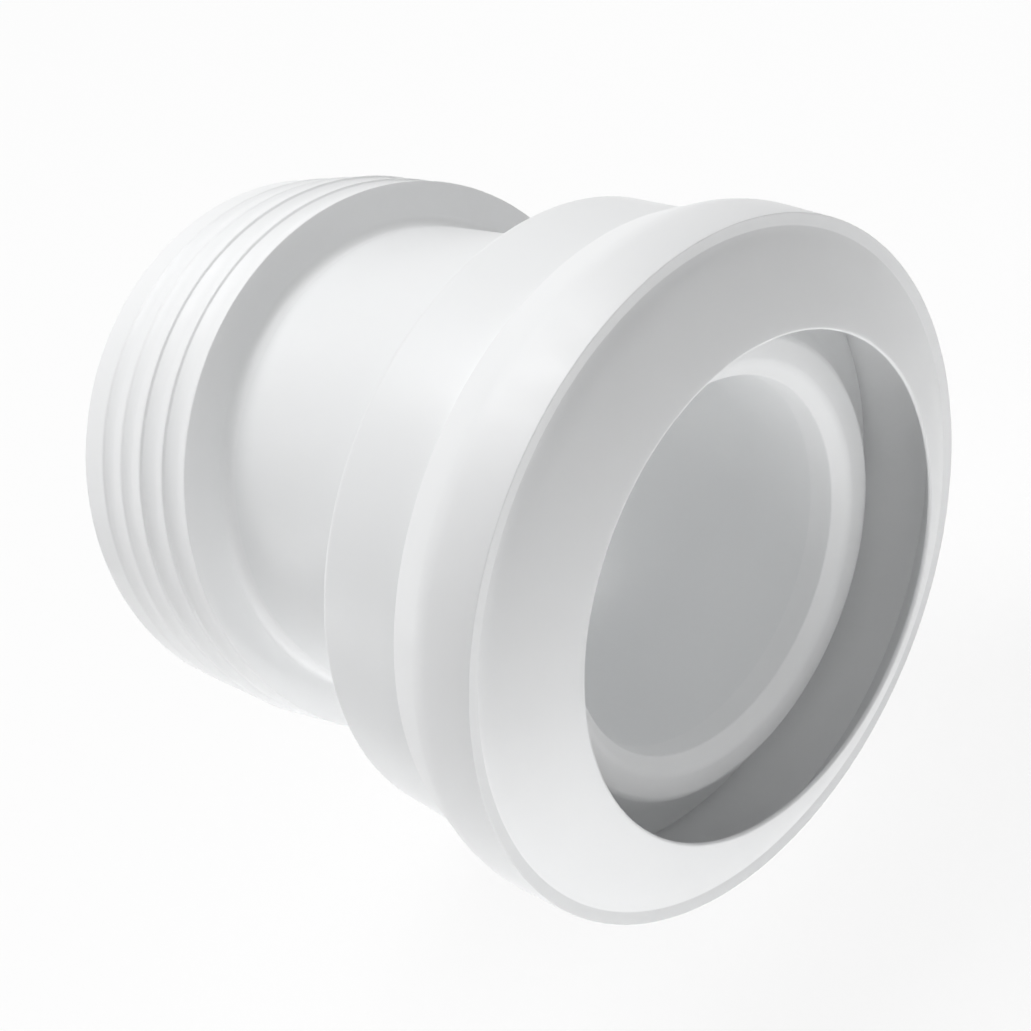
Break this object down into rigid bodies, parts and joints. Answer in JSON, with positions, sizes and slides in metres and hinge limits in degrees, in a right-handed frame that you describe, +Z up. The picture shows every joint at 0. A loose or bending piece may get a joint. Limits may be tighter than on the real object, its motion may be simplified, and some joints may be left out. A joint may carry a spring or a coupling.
{
  "type": "toilet pan connector",
  "caption": "Bent toilet pan connector: finned outlet seal for a soil pipe, straight neck, and a stepped bell with a coned lip seal that takes the pan's outlet.",
  "frame": {"origin": "on the outlet axis, at the middle one of the full-size sealing fins", "axes": "-X along the outlet axis, out of the outlet; the socket opens to +X and is turned down by the bend; +Z up"},
  "size_m": [0.1396, 0.14, 0.1417],
  "materials": {
    "rigid_plastic": "white moulded plastic, semi-gloss",
    "soft_seal": "white soft moulding, satin"
  },
  "bodies": {
    "root": {"connector_body": "rigid_plastic", "inlet_seal": "soft_seal", "outlet_seal": "soft_seal"}
  },
  "joints": []
}
